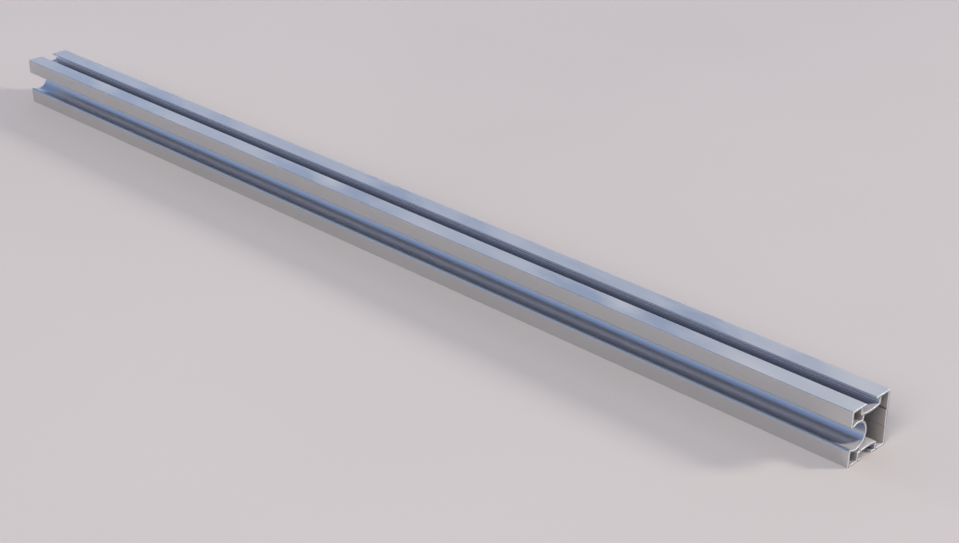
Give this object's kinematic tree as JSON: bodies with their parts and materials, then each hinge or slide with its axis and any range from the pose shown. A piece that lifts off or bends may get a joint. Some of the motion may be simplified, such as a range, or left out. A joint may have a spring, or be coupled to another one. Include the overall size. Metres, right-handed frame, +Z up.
{
  "type": "aluminium extrusion profile",
  "caption": "Straight hollow square bar of extruded aluminium with a T-slot along its top and underside, a round open channel along its front and thin inner webs.",
  "frame": {"origin": "under the middle of the bar, on the surface that it lies on", "axes": "+X along the bar, +Y from the face with the round channel to the rear face, +Z up through the slots"},
  "size_m": [0.9, 0.04, 0.04],
  "materials": {
    "aluminium": "satin anodised, sawn ends"
  },
  "bodies": {
    "root": {"profile": "aluminium"}
  },
  "joints": []
}
